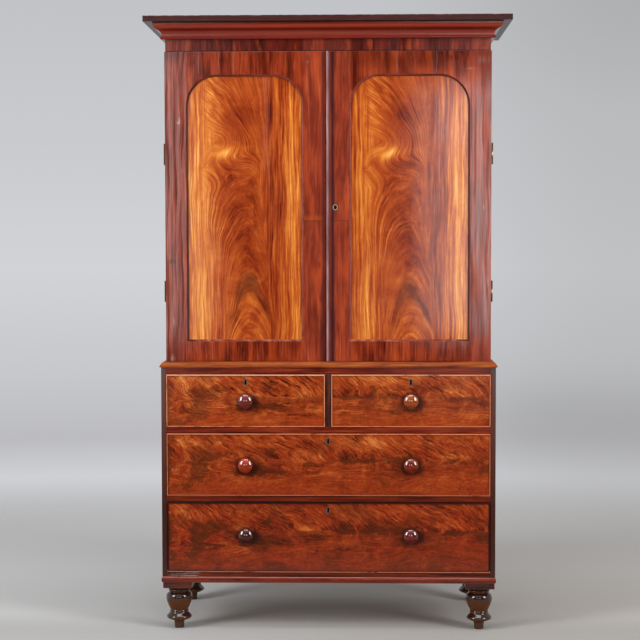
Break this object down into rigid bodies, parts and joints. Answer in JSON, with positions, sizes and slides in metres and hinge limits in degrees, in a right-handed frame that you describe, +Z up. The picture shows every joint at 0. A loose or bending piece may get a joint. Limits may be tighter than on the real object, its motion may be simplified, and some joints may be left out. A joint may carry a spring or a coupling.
{
  "type": "linen press",
  "caption": "Tall linen press: cupboard with framed arched doors and trays, on a chest of drawers with turned feet, under a loose moulded cornice.",
  "frame": {"origin": "on the floor, under the middle of the bounding box", "axes": "+Z up; +X to the right of someone who faces the doors; +Y backwards, towards the wall, so the doors and drawers face -Y"},
  "size_m": [1.28, 0.61, 2.165],
  "materials": {
    "carcass_mahogany": "french polished, dark red-brown",
    "frame_mahogany": "french polished, cross-banded, dark red-brown",
    "flame_mahogany": "french polished flame veneer, golden orange to red-brown",
    "moulding_mahogany": "french polished, red-brown",
    "turned_mahogany": "french polished, dark, glossy",
    "bead_mahogany": "polished, worn light",
    "oak": "bare, planed",
    "pine": "bare, aged",
    "brass": "aged",
    "steel": "filed"
  },
  "bodies": {
    "case": {"cornice_moulding": "moulding_mahogany", "cornice_frieze": "frame_mahogany", "cornice_frame": "pine", "upper_sides": "carcass_mahogany", "upper_top_and_bottom": "pine", "upper_back_boards": "pine", "tray_runners": "pine", "linen_trays": "carcass_mahogany", "hinge_case_leaves": "brass", "lower_sides": "carcass_mahogany", "lower_top_board": "pine", "waist_moulding": "moulding_mahogany", "drawer_rails": "carcass_mahogany", "drawer_divider": "carcass_mahogany", "drawer_runners": "pine", "dust_boards": "pine", "lower_bottom_board": "pine", "lower_back_boards": "pine", "drawer_stops": "pine", "base_moulding": "moulding_mahogany", "foot_blocks": "turned_mahogany", "feet": "turned_mahogany"},
    "left_door": {"left_door_frame": "frame_mahogany", "left_door_panel": "flame_mahogany", "left_door_bead": "bead_mahogany", "left_door_hinge_leaves": "brass", "left_door_bolt_plates": "brass"},
    "left_door_top_bolt": {"left_door_top_bolt": "brass"},
    "left_door_bottom_bolt": {"left_door_bottom_bolt": "brass"},
    "right_door": {"right_door_frame": "frame_mahogany", "right_door_panel": "flame_mahogany", "right_door_bead": "bead_mahogany", "right_door_astragal": "moulding_mahogany", "right_door_hinge_leaves": "brass", "right_door_lock": "brass"},
    "right_door_lock_bolt": {"right_door_lock_bolt": "steel"},
    "left_short_drawer": {"left_short_drawer_front": "flame_mahogany", "left_short_drawer_box": "oak", "left_short_drawer_bead": "bead_mahogany", "left_short_drawer_knobs": "turned_mahogany", "left_short_drawer_lock": "brass"},
    "left_short_drawer_bolt": {"left_short_drawer_bolt": "steel"},
    "right_short_drawer": {"right_short_drawer_front": "flame_mahogany", "right_short_drawer_box": "oak", "right_short_drawer_bead": "bead_mahogany", "right_short_drawer_knobs": "turned_mahogany", "right_short_drawer_lock": "brass"},
    "right_short_drawer_bolt": {"right_short_drawer_bolt": "steel"},
    "middle_drawer": {"middle_drawer_front": "flame_mahogany", "middle_drawer_box": "oak", "middle_drawer_bead": "bead_mahogany", "middle_drawer_knobs": "turned_mahogany", "middle_drawer_lock": "brass"},
    "middle_drawer_bolt": {"middle_drawer_bolt": "steel"},
    "bottom_drawer": {"bottom_drawer_front": "flame_mahogany", "bottom_drawer_box": "oak", "bottom_drawer_bead": "bead_mahogany", "bottom_drawer_knobs": "turned_mahogany", "bottom_drawer_lock": "brass"},
    "bottom_drawer_bolt": {"bottom_drawer_bolt": "steel"}
  },
  "joints": [
    {"name": "left_door_swing", "type": "hinge", "parent": "case", "child": "left_door", "pos_m": [-0.5769, -0.2135, 1.50375], "axis": [0, 0, -1], "range_deg": [0, 180]},
    {"name": "right_door_swing", "type": "hinge", "parent": "case", "child": "right_door", "pos_m": [0.5769, -0.2135, 1.50375], "axis": [0, 0, 1], "range_deg": [0, 180]},
    {"name": "left_door_top_bolt_slide", "type": "slide", "parent": "left_door", "child": "left_door_top_bolt", "axis": [0, 0, 1], "range_m": [0, 0.012]},
    {"name": "left_door_bottom_bolt_slide", "type": "slide", "parent": "left_door", "child": "left_door_bottom_bolt", "axis": [0, 0, -1], "range_m": [0, 0.012]},
    {"name": "right_door_lock_bolt_slide", "type": "slide", "parent": "right_door", "child": "right_door_lock_bolt", "axis": [-1, 0, 0], "range_m": [0, 0.008]},
    {"name": "left_short_drawer_slide", "type": "slide", "parent": "case", "child": "left_short_drawer", "axis": [0, -1, 0], "range_m": [0, 0.38]},
    {"name": "left_short_drawer_bolt_slide", "type": "slide", "parent": "left_short_drawer", "child": "left_short_drawer_bolt", "axis": [0, 0, 1], "range_m": [0, 0.008]},
    {"name": "right_short_drawer_slide", "type": "slide", "parent": "case", "child": "right_short_drawer", "axis": [0, -1, 0], "range_m": [0, 0.38]},
    {"name": "right_short_drawer_bolt_slide", "type": "slide", "parent": "right_short_drawer", "child": "right_short_drawer_bolt", "axis": [0, 0, 1], "range_m": [0, 0.008]},
    {"name": "middle_drawer_slide", "type": "slide", "parent": "case", "child": "middle_drawer", "axis": [0, -1, 0], "range_m": [0, 0.38]},
    {"name": "middle_drawer_bolt_slide", "type": "slide", "parent": "middle_drawer", "child": "middle_drawer_bolt", "axis": [0, 0, 1], "range_m": [0, 0.008]},
    {"name": "bottom_drawer_slide", "type": "slide", "parent": "case", "child": "bottom_drawer", "axis": [0, -1, 0], "range_m": [0, 0.38]},
    {"name": "bottom_drawer_bolt_slide", "type": "slide", "parent": "bottom_drawer", "child": "bottom_drawer_bolt", "axis": [0, 0, 1], "range_m": [0, 0.008]}
  ]
}
